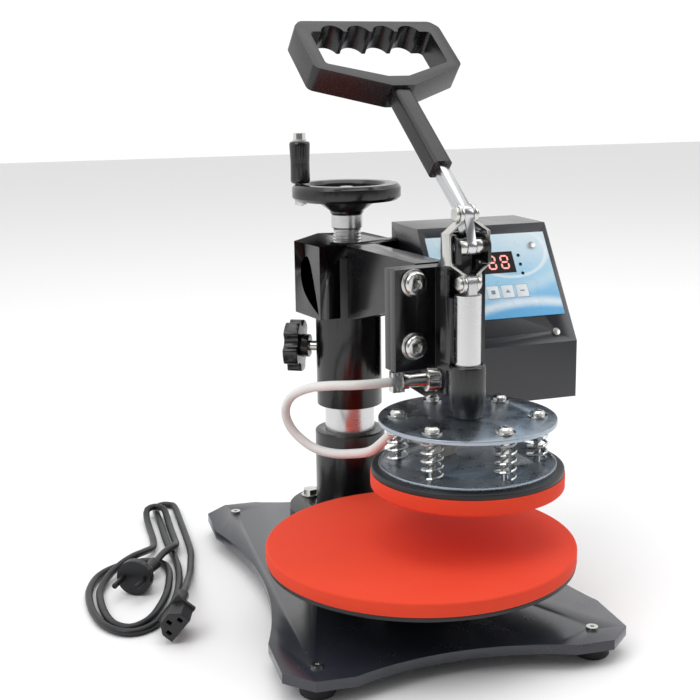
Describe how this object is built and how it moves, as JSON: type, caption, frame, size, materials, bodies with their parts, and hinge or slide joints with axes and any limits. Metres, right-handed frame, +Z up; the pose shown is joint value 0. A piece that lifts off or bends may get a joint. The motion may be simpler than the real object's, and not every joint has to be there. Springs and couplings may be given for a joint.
{
  "type": "plate heat press",
  "caption": "Swing-away heat press: round heated plate over a round padded bed, toggle lever, height screw with handwheel, side control box",
  "frame": {"origin": "centre of the footprint of the machine without its mains lead, on the floor under the rubber feet", "axes": "+X to the operator's right, +Y to the back, +Z up"},
  "size_m": [0.4443, 0.4702, 0.4849],
  "materials": {
    "slate_powder": "satin",
    "black_powder": "gloss",
    "box_paint": "satin",
    "polished_steel": "polished",
    "nickel_bolts": "bright plated",
    "zinc_plate": "zinc plated",
    "bearing_bronze": "turned",
    "red_silicone": "matt",
    "black_rubber": "matt",
    "black_grip": "gloss moulded",
    "black_phenolic": "moulded",
    "black_pvc": "moulded",
    "heater_paint": "satin",
    "white_silicone": "matt",
    "ceramic_white": "matt",
    "printed_film": "printed film",
    "smoked_window": "gloss",
    "led_lens": "clear dome",
    "white_keys": "satin",
    "rocker_red": "gloss",
    "circuit_board": "solder mask"
  },
  "bodies": {
    "stand": {"base_plate": "slate_powder", "rubber_feet": "black_rubber", "foot_screws": "black_powder", "column_flange": "black_powder", "column_bolts": "nickel_bolts", "column_tube": "black_powder", "column_shaft": "polished_steel", "pedestal": "black_powder", "lower_platen": "heater_paint", "lower_pad": "red_silicone", "mains_cord": "black_pvc", "mains_connector": "black_pvc", "wall_plug": "black_pvc"},
    "swing": {"thrust_washer": "bearing_bronze"},
    "wheel": {"adjust_screw": "polished_steel", "handwheel": "black_phenolic", "wheel_nut": "nickel_bolts", "crank_bolt": "nickel_bolts"},
    "crank": {"crank_grip": "black_phenolic"},
    "arm": {"arm_sleeve": "black_powder", "arm_block": "black_powder", "arm_web": "black_powder", "arm_flange": "black_powder", "sleeve_bushes": "bearing_bronze", "guide_bolts": "nickel_bolts", "guide_channel": "black_powder", "pivot_pin": "nickel_bolts", "box_shell": "box_paint", "box_back": "box_paint", "box_screws": "nickel_bolts", "control_board": "circuit_board", "fascia": "printed_film", "display_window": "smoked_window", "indicator_leds": "led_lens", "power_inlet": "black_pvc", "heater_plug": "nickel_bolts", "heater_lead": "white_silicone"},
    "lock": {"lock_knob": "black_phenolic", "lock_screw": "polished_steel"},
    "shoe": {"clamp_shoe": "bearing_bronze"},
    "lever": {"lever_bar": "polished_steel", "lever_grip": "black_grip", "upper_pin": "nickel_bolts"},
    "links": {"link_plates": "nickel_bolts", "lower_rivets": "nickel_bolts"},
    "plunger": {"plunger_rod": "polished_steel", "slide_block": "polished_steel", "rod_boss": "black_powder", "top_plate": "zinc_plate"},
    "heater": {"spring_bolts": "nickel_bolts", "springs": "nickel_bolts", "lower_plate": "zinc_plate", "heater_body": "heater_paint", "upper_pad": "red_silicone", "terminal_block": "ceramic_white"},
    "key_down": {"button_down": "white_keys"},
    "key_set": {"button_set": "white_keys"},
    "key_up": {"button_up": "white_keys"},
    "key_mode": {"button_mode": "white_keys"},
    "rocker": {"power_switch": "rocker_red"}
  },
  "joints": [
    {"name": "arm_swing", "type": "hinge", "parent": "stand", "child": "swing", "pos_m": [-0.0226, 0.13595, 0.252], "axis": [0, 0, 1], "range_deg": [-11, 79]},
    {"name": "wheel_turn", "type": "hinge", "parent": "swing", "child": "wheel", "pos_m": [-0.0226, 0.13595, 0.33], "axis": [0, 0, 1], "range_deg": [-1440, 360]},
    {"name": "arm_lift", "type": "slide", "parent": "swing", "child": "arm", "axis": [0, 0, 1], "range_m": [-0.003, 0.012]},
    {"name": "crank_spin", "type": "hinge", "parent": "wheel", "child": "crank", "pos_m": [-0.06365, 0.14695, 0.36], "axis": [0, 0, 1], "continuous": true},
    {"name": "lock_turn", "type": "hinge", "parent": "arm", "child": "lock", "pos_m": [-0.06715, 0.15865, 0.187], "axis": [0.891, -0.454, 0], "range_deg": [0, 192]},
    {"name": "shoe_slide", "type": "slide", "parent": "arm", "child": "shoe", "axis": [0.891, -0.454, 0], "range_m": [0, 0.0008]},
    {"name": "lever_turn", "type": "hinge", "parent": "arm", "child": "lever", "pos_m": [0.01861, -0.07608, 0.308], "axis": [0.9816, 0.1908, 0], "range_deg": [0, 141]},
    {"name": "link_turn", "type": "hinge", "parent": "lever", "child": "links", "pos_m": [0.01766, -0.07117, 0.333], "axis": [0.9816, 0.1908, 0], "range_deg": [-114.5, 0]},
    {"name": "plunger_slide", "type": "slide", "parent": "arm", "child": "plunger", "axis": [0, 0, 1], "range_m": [-0.038, 0]},
    {"name": "heater_float", "type": "slide", "parent": "plunger", "child": "heater", "axis": [0, 0, 1], "range_m": [0, 0.004], "stiffness_N_per_m": 12000, "springref_m": -0.006, "deforming": ["springs"]},
    {"name": "key_down_press", "type": "slide", "parent": "arm", "child": "key_down", "axis": [-0.0551, 0.8296, -0.5557], "range_m": [0, 0.001], "stiffness_N_per_m": 800},
    {"name": "key_set_press", "type": "slide", "parent": "arm", "child": "key_set", "axis": [-0.0551, 0.8296, -0.5557], "range_m": [0, 0.001], "stiffness_N_per_m": 800},
    {"name": "key_up_press", "type": "slide", "parent": "arm", "child": "key_up", "axis": [-0.0551, 0.8296, -0.5557], "range_m": [0, 0.001], "stiffness_N_per_m": 800},
    {"name": "key_mode_press", "type": "slide", "parent": "arm", "child": "key_mode", "axis": [-0.0551, 0.8296, -0.5557], "range_m": [0, 0.001], "stiffness_N_per_m": 800},
    {"name": "rocker_tip", "type": "hinge", "parent": "arm", "child": "rocker", "pos_m": [0.1105, 0.14773, 0.19], "axis": [0.9978, 0.0663, 0], "range_deg": [-8, 8]}
  ],
  "couplings": [
    {"joint": "wheel_turn", "follows": "arm_lift", "rad_per_m": -2094.4},
    {"joint": "shoe_slide", "follows": "lock_turn", "m_per_rad": 0.00023873},
    {"joint": "plunger_slide", "follows": "lever_turn", "m_per_rad": -0.015441},
    {"joint": "link_turn", "follows": "lever_turn", "ratio": -0.812}
  ]
}
